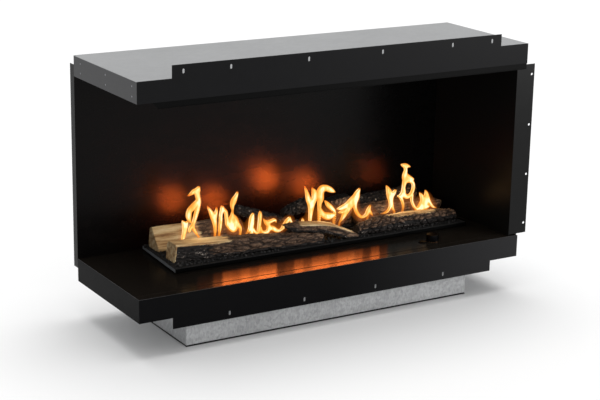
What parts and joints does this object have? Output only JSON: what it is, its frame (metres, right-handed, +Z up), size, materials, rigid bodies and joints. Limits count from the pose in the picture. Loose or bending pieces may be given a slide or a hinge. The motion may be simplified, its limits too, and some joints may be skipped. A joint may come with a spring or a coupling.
{
  "type": "built-in corner fireplace",
  "caption": "Built-in corner fireplace, open at the front and one end, with a burner under a tray of ceramic logs, on a galvanised plinth.",
  "frame": {"origin": "middle of the outer box in plan, on the surface that the plinth stands on", "axes": "+X to the right along the front, +Y to the back, +Z up; the front faces -Y"},
  "size_m": [1.231, 0.408, 0.756],
  "materials": {
    "galvanised": "galvanised sheet, satin",
    "black_steel": "satin powder coat",
    "gloss_black": "gloss enamel",
    "rivet_steel": "blackened",
    "stainless": "brushed",
    "polished_cap": "polished",
    "tray_steel": "satin",
    "foot_rubber": "matte",
    "ceramic_fibre": "matte",
    "black_plastic": "matte",
    "embers": "matte granules",
    "log_wood": "matte, painted as split wood",
    "log_bark": "matte, painted as charred bark",
    "log_char": "matte, painted as charcoal"
  },
  "bodies": {
    "casing": {"top_cover": "galvanised", "front_lintel": "black_steel", "left_lintel": "black_steel", "lintel_rivets": "rivet_steel", "ceiling_panel": "black_steel", "heat_strip": "black_steel", "right_liner": "black_steel", "right_side_panel": "galvanised", "back_panel": "black_steel", "back_screws": "rivet_steel", "floor_panel": "gloss_black", "floor_front_left": "gloss_black", "floor_front_right": "gloss_black", "filler_plate": "gloss_black", "front_apron": "black_steel", "left_apron": "black_steel", "bottom_pan": "galvanised", "plinth_channel": "galvanised", "plinth_left_end": "galvanised", "plinth_right_end": "galvanised", "burner_trough": "tray_steel", "burner_fibre": "ceramic_fibre", "trough_screws": "rivet_steel", "fuel_tank": "stainless", "filler_neck": "stainless", "button_ring": "stainless", "control_box": "black_plastic", "power_inlet": "black_plastic"},
    "log_set": {"log_tray": "tray_steel", "tray_feet": "foot_rubber", "ember_bed": "embers", "log_back_left": "log_wood", "log_front_left": "log_wood", "log_front_right": "log_bark", "log_back_middle": "log_char", "log_middle_right": "log_wood", "log_back_right": "log_bark", "log_cross_left": "log_char", "log_cross_middle": "log_char", "log_front_middle": "log_wood"},
    "cap": {"filler_cap": "polished_cap"},
    "button": {"start_button": "stainless"}
  },
  "joints": [
    {"name": "log_set_lift", "type": "slide", "parent": "casing", "child": "log_set", "axis": [0, 0, 1], "range_m": [0, 0.08]},
    {"name": "cap_pull", "type": "slide", "parent": "casing", "child": "cap", "axis": [0, 0, 1], "range_m": [0, 0.05]},
    {"name": "button_press", "type": "slide", "parent": "casing", "child": "button", "axis": [0, 0, -1], "range_m": [0, 0.0015], "stiffness_N_per_m": 2000, "springref_m": -0.001}
  ]
}
